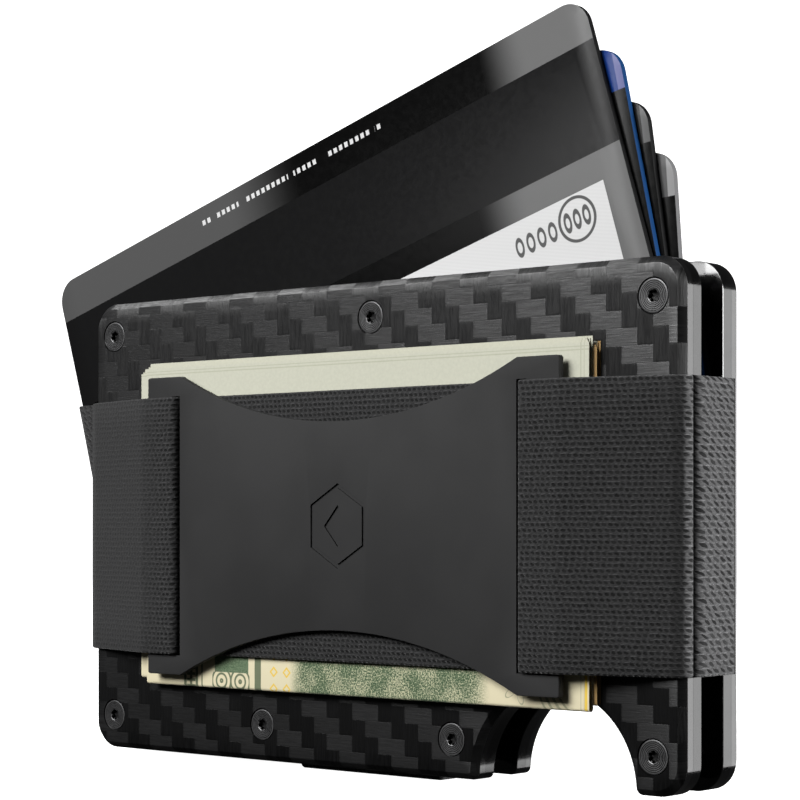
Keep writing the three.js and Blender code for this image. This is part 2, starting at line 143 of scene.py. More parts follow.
class Shader:
    """A material's node tree with short calls for the nodes used here."""

    def __init__(self, name):
        self.material = bpy.data.materials.new(name)
        self.material.use_nodes = True
        self.tree = self.material.node_tree
        self.tree.nodes.clear()
        self.output = self.node("ShaderNodeOutputMaterial")
        self.surface = self.node("ShaderNodeBsdfPrincipled")
        self.tree.links.new(self.surface.outputs[0], self.output.inputs["Surface"])

    def node(self, kind, **settings):
        made = self.tree.nodes.new(kind)
        for key, value in settings.items():
            setattr(made, key, value)
        return made

    def feed(self, socket, value):
        if isinstance(value, bpy.types.NodeSocket):
            self.tree.links.new(value, socket)
        else:
            socket.default_value = value

    def math(self, operation, a, b=0.0):
        made = self.node("ShaderNodeMath", operation=operation)
        for socket, value in zip(made.inputs, (a, b)):
            self.feed(socket, value)
        return made.outputs[0]

    def plus(self, a, b):
        return self.math("ADD", a, b)

    def minus(self, a, b):
        return self.math("SUBTRACT", a, b)

    def times(self, a, b):
        return self.math("MULTIPLY", a, b)

    def inside(self, value, low, high):
        """One where the value is between low and high, and zero elsewhere."""
        above, below = self.math("GREATER_THAN", value, low), self.math("LESS_THAN", value, high)
        return self.times(above, below)

    def length(self, a, b):
        """How far the point (a, b) is from zero."""
        return self.math("SQRT", self.plus(self.math("POWER", a, 2.0), self.math("POWER", b, 2.0)))

    def scaled(self, colour, share):
        """A colour made lighter or darker by a share."""
        made = self.node("ShaderNodeVectorMath", operation="SCALE")
        self.feed(made.inputs[0], colour)
        self.feed(made.inputs["Scale"], share)
        return made.outputs[0]

    def chance(self, dimensions, **inputs):
        """A random value for each whole number or pair of numbers that is fed in."""
        made = self.node("ShaderNodeTexWhiteNoise", noise_dimensions=dimensions)
        for name, value in inputs.items():
            self.feed(made.inputs[name], value)
        return made.outputs[0]

    def ramp(self, value, low, high, to_low=0.0, to_high=1.0):
        """A smooth change from to_low at low to to_high at high."""
        made = self.node("ShaderNodeMapRange", interpolation_type="SMOOTHSTEP")
        for socket, entry in zip(made.inputs[:5], (value, low, high, to_low, to_high)):
            self.feed(socket, entry)
        return made.outputs[0]

    def mix(self, share, a, b):
        made = self.node("ShaderNodeMix", data_type="RGBA")
        self.feed(made.inputs[0], share)
        for socket, value in ((made.inputs[6], a), (made.inputs[7], b)):
            if not isinstance(value, bpy.types.NodeSocket):
                value = (*value, 1.0)
            self.feed(socket, value)
        return made.outputs[2]

    def blend(self, share, a, b):
        made = self.node("ShaderNodeMix", data_type="FLOAT")
        for socket, value in zip((made.inputs[0], made.inputs[2], made.inputs[3]), (share, a, b)):
            self.feed(socket, value)
        return made.outputs[0]

    def noise(self, vector, scale, detail=2.0, roughness=0.5):
        made = self.node("ShaderNodeTexNoise")
        self.feed(made.inputs["Vector"], vector)
        made.inputs["Scale"].default_value = scale
        made.inputs["Detail"].default_value = detail
        made.inputs["Roughness"].default_value = roughness
        return made.outputs[0]

    def split(self, vector):
        made = self.node("ShaderNodeSeparateXYZ")
        self.feed(made.inputs[0], vector)
        return made.outputs[0], made.outputs[1], made.outputs[2]

    def join(self, x=0.0, y=0.0, z=0.0):
        made = self.node("ShaderNodeCombineXYZ")
        for socket, value in zip(made.inputs, (x, y, z)):
            self.feed(socket, value)
        return made.outputs[0]

    def place(self):
        """Coordinates in millimetres in the wallet's own frame."""
        return self.scaled(self.node("ShaderNodeTexCoord").outputs["Object"], 1 / MM)

    def unwrapped(self):
        """Millimetres along and across a piece, from its UV map."""
        layer = self.node("ShaderNodeUVMap", uv_map="flat")
        return self.split(layer.outputs[0])[:2]

    def bump(self, height, strength, distance):
        made = self.node("ShaderNodeBump")
        made.inputs["Strength"].default_value = strength
        made.inputs["Distance"].default_value = distance
        self.feed(made.inputs["Height"], height)
        self.feed(self.surface.inputs["Normal"], made.outputs[0])

    def finish(self, **sockets):
        for name, value in sockets.items():
            socket = self.surface.inputs[name.replace("_", " ")]
            if isinstance(value, tuple) and len(value) == 3:
                value = (*value, 1.0)
            self.feed(socket, value)
        return self.material


# -------------------------------------------------------------------- materials

def carbon_twill():
    """Two-by-two twill of carbon tows, with the fibre streaks of each tow."""
    sizes, colours = bpy.context.scene.wallet_sizes, bpy.context.scene.wallet_colours
    s = Shader("carbon_twill")
    x, y, z = s.split(s.place())
    # One corner of the weave, in millimetres, from which tows are counted to the right and down.
    start_x, start_z = 18.41, 25.34
    across_x = s.math("DIVIDE", s.minus(x, start_x), sizes.tow / MM)
    down_z = s.math("DIVIDE", s.minus(start_z, z), sizes.tow_rise / MM)
    column, row = s.math("FLOOR", across_x), s.math("FLOOR", down_z)
    part_x, part_z = s.math("FRACT", across_x), s.math("FRACT", down_z)
    phase = s.math("FLOORED_MODULO", s.minus(row, column), 4.0)
    upright = s.math("LESS_THAN", phase, 1.5)
    along_up = s.plus(part_z, phase)
    along_flat = s.plus(part_x, s.minus(3.0, phase))
    across = s.blend(upright, part_z, part_x)
    along = s.blend(upright, along_flat, along_up)
    # Each tow is flat-topped across, and dips where it passes under its neighbours.
    off_middle = s.math("ABSOLUTE", s.minus(s.times(across, 2.0), 1.0))
    shoulder = s.ramp(off_middle, 0.9, 1.0, 1.0, 0.0)
    off_crown = s.math("ABSOLUTE", s.minus(along, 1.0))
    crown = s.ramp(off_crown, 0.86, 1.0, 1.0, 0.6)
    fibre_up = s.noise(s.join(s.times(x, 7.5), y, s.times(z, 0.5)), 1.0, 3.0, 0.6)
    fibre_flat = s.noise(s.join(s.times(x, 0.5), y, s.times(z, 7.5)), 1.0, 3.0, 0.6)
    fibre = s.blend(upright, fibre_flat, fibre_up)
    streak = s.ramp(fibre, 0.36, 0.64, 0.55, 1.5)
    each = s.chance("2D", Vector=s.join(s.blend(upright, row, column), upright))
    shade = s.times(streak, s.ramp(each, 0.0, 1.0, 0.86, 1.14))
    # Level tows take the lighter colour, which is painted light; upright tows take the darker one.
    base = s.mix(upright, tuple(colours.tow_painted_lit), tuple(colours.tow_dark))
    # Painted shade: darker on the chamfers of the two ends and towards the lower edge. The same masks also
    # lower the shine there.
    end_x, low_z = PLATE_HIGH.x / MM, PLATE_LOW.z / MM
    end_painted_shade = s.ramp(s.math("ABSOLUTE", x), end_x - 0.85, end_x - 0.6, 1.0, 0.3)
    low_painted_shade = s.ramp(z, low_z, low_z + 31.0, 0.66, 1.0)
    shade = s.times(shade, s.times(end_painted_shade, low_painted_shade))
    # A tow's colour is also darkened a little where it dips under its neighbours: painted shade.
    tone = s.scaled(base, s.times(shade, s.ramp(crown, 0.6, 1.0, 0.8, 1.0)))
    shine = s.times(0.62, s.times(end_painted_shade, s.math("POWER", low_painted_shade, 2.2)))
    rounded = s.times(s.times(shoulder, crown), 0.4)
    height = s.plus(rounded, s.times(fibre, 1.3))
    s.bump(height, 0.5, 0.04 * MM)
    # The highlight of a fibre is drawn out across it: upwards on flat tows, sideways on upright ones.
    return s.finish(Base_Color=tone, Roughness=s.ramp(fibre, 0.36, 0.64, 0.5, 0.32),
                    Specular_IOR_Level=shine, Anisotropic=0.75,
                    Tangent=s.join(upright, 0.0, s.minus(1.0, upright)))


def gloss_black(name, metallic=0.0):
    """Gloss black edge finish of the plates, with faint polish marks."""
    s = Shader(name)
    place = s.place()
    polish = s.noise(place, 0.8, 3.0)
    fine = s.noise(place, 14.0, 2.0)
    s.bump(fine, 0.05, 0.01 * MM)
    shade = s.mix(polish, (0.0022, 0.0022, 0.0023), (0.0035, 0.0035, 0.0037))
    return s.finish(Base_Color=shade, Metallic=metallic, Roughness=s.ramp(polish, 0.3, 0.7, 0.12, 0.2),
                    Coat_Weight=0.6, Coat_Roughness=0.08)


def screw_steel(name, low, high):
    """Blackened steel with turning marks and a little rubbing."""
    s = Shader(name)
    place = s.place()
    worn = s.noise(place, 1.4, 4.0, 0.5)
    s.bump(s.noise(place, 9.0, 2.0), 0.05, 0.01 * MM)
    shade = s.mix(worn, low, high)
    return s.finish(Base_Color=shade, Metallic=0.7, Roughness=s.ramp(worn, 0.3, 0.7, 0.38, 0.46))


def elastic_weave(name, raised, sunk, slant=0.15, stitch=1.0, rise=1.0, calm_from=None):
    """Close knit with a small hole in each stitch, darkened with painted shade, and a fine raised thread
    above each row, lightened with a painted highlight.

    slant leans the holes, and stitch and rise stretch them along and across the band. The holes
    soften over the millimetres after calm_from, where the knit is pulled tight."""
    sizes = bpy.context.scene.wallet_sizes
    s = Shader(name)
    along, across = s.unwrapped()
    wander = s.noise(s.join(along, across), 0.9, 2.0)
    wavy = s.plus(across, s.times(wander, 0.22))
    rows = s.math("DIVIDE", wavy, rise * sizes.row_pitch / MM)
    row = s.math("FLOOR", rows)
    stitches = s.math("DIVIDE", along, stitch * sizes.stitch_pitch / MM)
    stitches = s.plus(stitches, s.chance("1D", W=row))
    stitches = s.plus(stitches, s.times(wander, 0.5))
    across_row = s.minus(s.times(s.math("FRACT", rows), 2.0), 1.0)
    along_stitch = s.minus(s.times(s.math("FRACT", stitches), 2.0), 1.0)
    wide = s.math("POWER", s.math("DIVIDE", s.math("ABSOLUTE", along_stitch), 0.72), 2.0)
    lean = s.plus(s.plus(across_row, 0.2), s.times(along_stitch, slant))
    tall = s.math("POWER", s.math("DIVIDE", s.math("ABSOLUTE", lean), 0.52), 2.0)
    hole = s.ramp(s.plus(wide, tall), 0.5, 1.7, 1.0, 0.0)
    each = s.chance("2D", Vector=s.join(s.math("FLOOR", stitches), row))
    hole = s.times(hole, s.ramp(each, 0.0, 1.0, 0.7, 1.0))
    hair = s.noise(s.join(s.minus(along, s.times(across, 0.6)), s.times(across, 2.2)), 2.2, 3.0, 0.6)
    thread = s.ramp(s.math("ABSOLUTE", s.minus(across_row, 0.62)), 0.06, 0.36, 1.0, 0.0)
    thread = s.times(thread, s.ramp(hair, 0.42, 0.62))
    if calm_from is not None:
        calm = s.ramp(along, calm_from, calm_from + 6.0, 1.0, 0.3)
        hole, thread = s.times(hole, calm), s.times(thread, calm)
    raised_part = s.plus(s.times(thread, 0.5), s.times(hair, 0.3))
    s.bump(s.minus(raised_part, hole), 0.9, 0.09 * MM)
    # The hair streaks and the raised threads lighten the yarn: painted highlights.
    bright = s.plus(s.ramp(hair, 0.35, 0.65, 0.72, 1.2), s.times(thread, 0.8))
    # Painted shade where the band turns the right end, and painted light along its side.
    x = s.split(s.place())[0]
    side_x = MAIN_HIGH.x / MM
    turning = s.ramp(x, side_x - 1.9, side_x - 1.1, 1.0, 0.55)
    side_painted_light = s.ramp(x, side_x - 0.65, side_x - 0.2, 1.0, 5.4)
    bright = s.times(bright, s.times(turning, side_painted_light))
    yarn = s.scaled(raised, bright)
    # In the holes the yarn gives way to the sunk colour: painted shade.
    return s.finish(Base_Color=s.mix(hole, yarn, sunk), Roughness=0.85, Specular_IOR_Level=0.2,
                    Sheen_Weight=0.15, Sheen_Roughness=0.4)


def strap_moulding():
    """Satin moulding with a very fine spark texture."""
    s = Shader("strap_moulding")
    place = s.place()
    spark = s.noise(place, 9.0, 4.0, 0.65)
    broad = s.noise(place, 0.12, 2.0)
    base = tuple(bpy.context.scene.wallet_colours.strap)
    darker = tuple(0.86 * c for c in base)
    s.bump(spark, 0.10, 0.02 * MM)
    return s.finish(Base_Color=s.mix(s.ramp(broad, 0.3, 0.7), darker, base),
                    Roughness=s.ramp(spark, 0.3, 0.7, 0.62, 0.72), Specular_IOR_Level=0.16)


# ----------------------------------------------------------------- mesh helpers

def finished(name, mesh, materials, crease):
    """An object of the mesh in the scene, shaded smooth below the crease angle."""
    for polygon in mesh.polygons:
        polygon.use_smooth = True
    mesh.set_sharp_from_angle(angle=math.radians(crease))
    for material in materials:
        mesh.materials.append(material)
    made = bpy.data.objects.new(name, mesh)
    bpy.context.scene.collection.objects.link(made)
    return made


def stock(name, points, faces, materials, marks=None, crease=CREASE, slots=None):
    """A mesh object from points and faces.

    marks gives the flat coordinates of every face corner, for the UV map "flat", and slots the
    place of every face's material in the list."""
    mesh = bpy.data.meshes.new(name)
    mesh.from_pydata([tuple(p) for p in points], [], faces)
    if marks:
        layer = mesh.uv_layers.new(name="flat")
        corners = [mark for face in marks for mark in face]
        for loop, mark in zip(layer.data, corners):
            loop.uv = mark
    if slots:
        for polygon, slot in zip(mesh.polygons, slots):
            polygon.material_index = slot
    return finished(name, mesh, materials, crease)


def from_bmesh(name, bm, materials):
    """A mesh object from a bmesh, with its faces turned outwards."""
    bmesh.ops.recalc_face_normals(bm, faces=bm.faces[:])
    mesh = bpy.data.meshes.new(name)
    bm.to_mesh(mesh)
    bm.free()
    return finished(name, mesh, materials, CREASE)


def face_outwards(mesh):
    """Turns all faces of a closed mesh outwards."""
    bm = bmesh.new()
    bm.from_mesh(mesh)
    bmesh.ops.recalc_face_normals(bm, faces=bm.faces[:])
    bm.to_mesh(mesh)
    bm.free()


def arc(centre, radius, start, end, steps):
    """Points on an arc in X and Z, from one angle to another in degrees."""
    points = []
    for i in range(steps + 1):
        angle = math.radians(start + (end - start) * i / steps)
        points.append((centre[0] + radius * math.cos(angle), centre[1] + radius * math.sin(angle)))
    return points


def rounded_rectangle(half_x, half_z, radius, steps):
    """Outline in X and Z with round corners, anticlockwise from the lower right corner."""
    x, z = half_x - radius, half_z - radius
    points = []
    for centre, start in (((x, -z), -90), ((x, z), 0), ((-x, z), 90), ((-x, -z), 180)):
        points += arc(centre, radius, start, start + 90, steps)
    return points


def plate_outline():
    """The plates' outline, with the thumb notch in its bottom edge."""
    sizes = bpy.context.scene.wallet_sizes
    half_x, half_z = PLATE_HIGH.x, PLATE_HIGH.z
    outline = rounded_rectangle(half_x, half_z, sizes.corner, 12)
    mouth = 0.8 * MM
    centre = (sizes.notch_x, sizes.notch_z)
    rise = -half_z + mouth - centre[1]
    reach = math.sqrt((sizes.notch_radius + mouth) ** 2 - rise ** 2)
    tilt = math.degrees(math.atan2(rise, reach))
    left = arc((centre[0] - reach, -half_z + mouth), mouth, -90, -tilt, 6)
    right = arc((centre[0] + reach, -half_z + mouth), mouth, 180 + tilt, 270, 6)
    over = arc(centre, sizes.notch_radius, 180 - tilt, tilt, 44)
    return steadied(outline + left + over[1:-1] + right)


def steadied(outline):
    """The outline with a point close to each end of its long straight stretches, to keep them flat."""
    near, long_stretch = 0.08 * MM, 1.5 * MM
    points = []
    for i, here in enumerate(outline):
        a, b = Vector(here), Vector(outline[(i + 1) % len(outline)])
        points.append(here)
        if (b - a).length > long_stretch:
            step = (b - a).normalized() * near
            points += [tuple(a + step), tuple(b - step)]
    return points


def shrunk(outline, inset):
    """The outline moved inwards by the inset."""
    if not inset:
        return list(outline)
    moved = []
    count = len(outline)
    for i, (x, z) in enumerate(outline):
        before, after = outline[i - 1], outline[(i + 1) % count]
        one = Vector((x - before[0], z - before[1])).normalized()
        two = Vector((after[0] - x, after[1] - z)).normalized()
        middle = (one + two).normalized()
        reach = inset / max(middle.dot(one), 0.5)
        moved.append((x - middle.y * reach, z + middle.x * reach))
    return moved


def soft_edges(first, last, soft):
    """A plate's profile from one face to the other, with both edges eased by the soft width."""
    step = math.copysign(soft, last - first)
    return [(soft, first), (soft * 0.3, first + step * 0.3), (0, first + step),
            (0, last - step), (soft * 0.3, last - step * 0.3), (soft, last)]


def layered(name, outline, profile, holes, materials):
    """A closed plate: the outline, shrunk by each (inset, y) of the profile in turn.

    holes are (centre, [(radius, y), ...]) with the same first and last y as the profile."""
    bm = bmesh.new()

    def loop_at(points, y):
        return [bm.verts.new((x, y, z)) for x, z in points]

    def wall(loops):
        for low, high in zip(loops, loops[1:]):
            for i in range(len(low)):
                j = (i + 1) % len(low)
                bm.faces.new((low[i], low[j], high[j], high[i]))

    shells = [[loop_at(shrunk(outline, inset), y) for inset, y in profile]]
    for centre, steps in holes:
        shells.append([loop_at(arc(centre, radius, 0, 360, 40)[:-1], y) for radius, y in steps])
    for loops in shells:
        wall(loops)
    for end in (0, -1):
        edges = []
        for loops in shells:
            ring = loops[end]
            edges += [bm.edges.get((ring[i - 1], ring[i])) for i in range(len(ring))]
        bmesh.ops.triangle_fill(bm, use_beauty=True, use_dissolve=False, edges=edges)
    return from_bmesh(name, bm, materials)


def carve(piece, tool):
    """Cuts the tool's shape out of a piece, and removes the tool."""
    modifier = piece.modifiers.new("carve", "BOOLEAN")
    modifier.object = tool
    modifier.solver = "EXACT"
    graph = bpy.context.evaluated_depsgraph_get()
    mesh = bpy.data.meshes.new_from_object(piece.evaluated_get(graph))
    piece.modifiers.clear()
    piece.data = mesh
    bpy.data.objects.remove(tool)


def cut(piece, boxes):
    """Cuts boxes, given as low and high corners, out of a piece."""
    for low, high in boxes:
        bm = bmesh.new()
        bmesh.ops.create_cube(bm, size=1.0)
        size, middle = high - low, (high + low) / 2
        for vertex in bm.verts:
            vertex.co = Vector(a * b for a, b in zip(vertex.co, size)) + middle
        carve(piece, from_bmesh("cutter", bm, []))
    piece.data.set_sharp_from_angle(angle=math.radians(CREASE))


def flipped_to_back(piece, name):
    """A copy of a front piece, mirrored to the back plates."""
    copy = piece.copy()
    copy.data = piece.data.copy()
    copy.name = copy.data.name = name
    bpy.context.scene.collection.objects.link(copy)
    copy.data.transform(Matrix.Translation((0, 2 * MIDDLE_Y, 0)) @ Matrix.Scale(-1, 4, (0, 1, 0)))
    copy.data.flip_normals()
    return copy


def screw_places():
    """The middle of each front screw, in X and Z."""
    places = []
    for i in range(1, SCREW_COUNT + 1):
        low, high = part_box(f"front_screw_{i}")
        places.append(((low.x + high.x) / 2, (low.z + high.z) / 2))
    return places


def stand_for(piece, body, slot, *nodes):
    """Rides a piece on its body and hides the CAD nodes it stands for. The slot is not used."""
    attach(piece, body)
    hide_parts(*nodes)


# ------------------------------------------------------------------------ pieces

class WALLET_OT_carbon_plates(bpy.types.Operator):
    """Build the two chamfered carbon plates"""

    bl_idname = "wallet.carbon_plates"
    bl_label = "Carbon Plates"

    def execute(self, context):
        chamfer = context.scene.wallet_sizes.chamfer
        soft = 0.05 * MM
        foot = FACE_Y + chamfer
        profile = [(0, SEAM_Y), (0, foot + 2 * soft), (0, foot + soft), (soft / 2, foot - soft / 4),
                   (chamfer - soft, FACE_Y + soft / 2), (chamfer + soft, FACE_Y)]
        mouth, throat = 1.87 * MM, 1.02 * MM
        steps = [(throat, SEAM_Y), (throat, FACE_Y + 0.9 * MM), (mouth, FACE_Y + 0.1 * MM),
                 (mouth + soft / 2, FACE_Y)]
        holes = [(place, steps) for place in screw_places()]
        twill, edge = carbon_twill(), gloss_black("plate_edge_gloss")
        front = layered("front_carbon_face", plate_outline(), profile, holes, [twill, edge])
        low = Vector((-CASH_HIGH.x, SEAM_Y - RECESS_DEPTH, -RECESS_HALF_Z))
        high = Vector((CASH_HIGH.x, SEAM_Y + 1 * MM, RECESS_HALF_Z))
        cut(front, [(low, high)])
        for polygon in front.data.polygons:
            facing_out = polygon.normal.y < -0.3
            polygon.material_index = 0 if facing_out else 1
        back = flipped_to_back(front, "back_carbon_face")
        stand_for(front, "front_assembly", "carbon", "front_carbon_plate")
        stand_for(back, "back_assembly", "carbon", "back_carbon_plate")
        return {"FINISHED"}


class WALLET_OT_inner_plates(bpy.types.Operator):
    """Build the two gloss black inner plates"""

    bl_idname = "wallet.inner_plates"
    bl_label = "Inner Plates"

    def execute(self, context):
        outer, inner = INNER_LOW.y, INNER_HIGH.y
        soft = 0.08 * MM
        profile = [(soft, inner), (soft * 0.3, inner - soft * 0.3), (0, inner - soft),
                   (0, inner - 2 * soft), (0, outer)]
        bore, ease = 0.97 * MM, soft / 2
        steps = [(bore + ease, inner), (bore, inner - ease), (bore, outer + ease), (bore, outer)]
        holes = [(place, steps) for place in screw_places()]
        front = layered("front_inner_shell", plate_outline(), profile, holes,
                        [gloss_black("inner_plate_gloss", 0.4)])
        past, play = 1 * MM, 0.3 * MM
        over, floor = outer - past, outer + RECESS_DEPTH
        band_low = Vector((-PLATE_HIGH.x - past, over, -RECESS_HALF_Z))
        band_high = Vector((PLATE_HIGH.x + past, floor, RECESS_HALF_Z))
        foot_low = Vector((-FOOT_HIGH.x - play, over, PLATE_LOW.z - past))
        foot_high = Vector((FOOT_HIGH.x + play, floor, FOOT_HIGH.z + play))
        cut(front, [(band_low, band_high), (foot_low, foot_high)])
        back = flipped_to_back(front, "back_inner_shell")
        stand_for(front, "front_assembly", "inner_plate", "front_inner_plate")
        stand_for(back, "back_assembly", "inner_plate", "back_inner_plate")
        return {"FINISHED"}


def screw_steps(top, bottom, rings):
    """A screw's profile from its tip to the mouth of its drive, as (radius, y, depth of the six lobes)."""
    shank, head, rim, star = 0.93 * MM, 1.75 * MM, 0.72 * MM, 0.56 * MM
    border, groove_depth = 0.08 * MM, 0.055 * MM
    steps = [(shank, bottom, 0), (shank, top + 0.8 * MM, 0),
             (head, top + 0.07 * MM, 0), (head - 0.02 * MM, top + 0.02 * MM, 0)]
    pitch = (head - border - rim) / rings
    for i in range(rings):
        outer = head - border - i * pitch
        steps += [(outer, top, 0), (outer - 0.52 * pitch, top + 0.004 * MM, 0),
                  (outer - 0.6 * pitch, top + groove_depth, 0),
                  (outer - 0.92 * pitch, top + groove_depth, 0)]
    return steps + [(rim, top, 0), (star * 1.12, top + 0.03 * MM, 0.05), (star, top + 0.12 * MM, 0.2),
                    (star * 0.92, top + 0.5 * MM, 0.2)]


def screw_shape(top, bottom, rings):
    """The points, faces and material slots of a screw on the Y axis. Sunk faces take the second slot, a
    near-black steel that paints shade in the grooves and the drive.
    """
    count = 96
    star_depth, sunk_from = 0.56 * MM, 0.03 * MM
    steps = screw_steps(top, bottom, rings)
    points, faces, slots = [], [], []
    for radius, y, lobes in steps:
        for i in range(count):
            angle = 2 * math.pi * i / count
            out = radius * (1 + lobes * math.cos(6 * angle))
            points.append((out * math.cos(angle), y, out * math.sin(angle)))
    for k in range(len(steps) - 1):
        sunk = max(steps[k][1], steps[k + 1][1]) > top + sunk_from
        for i in range(count):
            j = (i + 1) % count
            faces.append((k * count + i, (k + 1) * count + i, (k + 1) * count + j, k * count + j))
            slots.append(1 if sunk else 0)
    for loop, depth in ((0, bottom), (len(steps) - 1, top + star_depth)):
        centre = len(points)
        points.append((0, depth, 0))
        for i in range(count):
            ring = (loop * count + i, loop * count + (i + 1) % count)
            faces.append((centre, ring[0], ring[1]) if loop == 0 else (centre, ring[1], ring[0]))
            slots.append(1)
    return points, faces, slots


class WALLET_OT_screws(bpy.types.Operator):
    """Build the countersunk screws with turned rings and a six-lobe drive"""

    bl_idname = "wallet.screws"
    bl_label = "Screws"

    def execute(self, context):
        steel = screw_steel("screw_steel", (0.075, 0.075, 0.076), (0.11, 0.11, 0.112))
        # Near-black steel on the sunk faces, the grooves of the rings and the drive: painted shade.
        sunk_shade_steel = screw_steel("screw_sunk_shade", (0.008, 0.008, 0.008), (0.014, 0.014, 0.014))
        top, turned = FACE_Y + 0.04 * MM, math.radians(37)
        rings = context.scene.wallet_sizes.screw_rings
        points, faces, slots = screw_shape(top, top + 3.0 * MM, rings)
        for n, (x, z) in enumerate(screw_places(), 1):
            place = Matrix.Translation((x, 0, z)) @ Matrix.Rotation(turned * n, 4, "Y")
            moved = [place @ Vector(point) for point in points]
            front = stock(f"front_screw_head_{n}", moved, faces, [steel, sunk_shade_steel], crease=40, slots=slots)
            back = flipped_to_back(front, f"back_screw_head_{n}")
            stand_for(front, "front_assembly", "screw", f"front_screw_{n}")
            stand_for(back, "back_assembly", "screw", f"back_screw_{n}")
        return {"FINISHED"}


def band(name, path_at, levels, thickness, closed, material, flat_shift=0.0):
    """A woven band: path_at(z) gives its middle line in X and Y, the same count at each level.

    Its long edges are rounded over by thinning the outermost levels."""
    half = thickness / 2
    points, marks_at = [], []
    count = len(path_at(levels[0][0]))
    for z, share in levels:
        line = path_at(z)
        run = flat_shift
        outer, inner, runs = [], [], []
        for i in range(count):
            here = Vector(line[i])
            before = Vector(line[i - 1]) if closed or i else here
            after = Vector(line[(i + 1) % count]) if closed or i < count - 1 else here
            one, two = here - before, after - here
            middle = ((one.normalized() if one.length else two.normalized())
                      + (two.normalized() if two.length else one.normalized())).normalized()
            side = Vector((middle.y, -middle.x))
            step = two.normalized() if two.length else one.normalized()
            reach = half * share / max(middle.dot(step), 0.6)
            outer.append((here.x + side.x * reach, here.y + side.y * reach, z))
            inner.append((here.x - side.x * reach, here.y - side.y * reach, z))
            if i:
                run += (here - Vector(line[i - 1])).length
            runs.append(run)
        runs.append(run + (Vector(line[0]) - Vector(line[-1])).length)
        points += outer + inner
        marks_at.append([(r / MM, z / MM) for r in runs])
    faces, marks = [], []

    def at(k, side, i):
        return (2 * k + side) * count + i % count

    def face(*corners):
        faces.append([at(k, side, i) for k, side, i in corners])
        marks.append([marks_at[k][i] for k, side, i in corners])

    last = len(levels) - 1
    for i in range(count if closed else count - 1):
        for k in range(last):
            face((k, 0, i), (k, 0, i + 1), (k + 1, 0, i + 1), (k + 1, 0, i))
            face((k, 1, i), (k + 1, 1, i), (k + 1, 1, i + 1), (k, 1, i + 1))
        face((0, 0, i), (0, 1, i), (0, 1, i + 1), (0, 0, i + 1))
        face((last, 0, i), (last, 0, i + 1), (last, 1, i + 1), (last, 1, i))
    if not closed:
        for k in range(last):
            face((k, 0, 0), (k + 1, 0, 0), (k + 1, 1, 0), (k, 1, 0))
            end = count - 1
            face((k, 0, end), (k, 1, end), (k + 1, 1, end), (k + 1, 0, end))
    made = stock(name, points, faces, [material], marks, crease=60)
    face_outwards(made.data)
    return made


def band_levels(low, high, rows, edge=0.22 * MM):
    """Heights across a band with the share of its thickness at each, thin at both edges."""
    levels = [(low, 0.3), (low + 0.25 * edge, 0.72), (low + edge, 1.0)]
    span = high - low - 2 * edge
    levels += [(low + edge + span * i / rows, 1.0) for i in range(1, rows)]
    return levels + [(high - edge, 1.0), (high - 0.25 * edge, 0.72), (high, 0.3)]


def eased(corners, radius, steps=6):
    """A line through the corners in X and Y, with each inner corner rounded."""
    points = [Vector(corners[0])]
    for before, corner, after in zip(corners, corners[1:], corners[2:]):
        corner = Vector(corner)
        into, out = Vector(before) - corner, Vector(after) - corner
        reach = min(radius, 0.49 * into.length, 0.49 * out.length)
        start, end = corner + into.normalized() * reach, corner + out.normalized() * reach
        for i in range(steps + 1):
            t = i / steps
            points.append((1 - t) ** 2 * start + 2 * t * (1 - t) * corner + t * t * end)
    points.append(Vector(corners[-1]))
    return points


def spaced(points, step):
    """The same line with extra points so that no stretch is longer than the step."""
    dense = []
    for start, end in zip(points, points[1:]):
        a, b = Vector(start), Vector(end)
        parts = max(1, math.ceil((b - a).length / step))
        dense += [a + (b - a) * j / parts for j in range(parts)]
    return dense + [Vector(points[-1])]


def card_axes(number):
    """A card's middle, its long and short directions, and where its two faces are in Y."""
    low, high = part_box(f"card_{number}")
    middle = (low + high) / 2
    slope = math.radians(CARD_TURNS[number - 1])
    along = Vector((math.cos(slope), 0, math.sin(slope)))
    up = Vector((-math.sin(slope), 0, math.cos(slope)))
    return middle, along, up, low.y, high.y


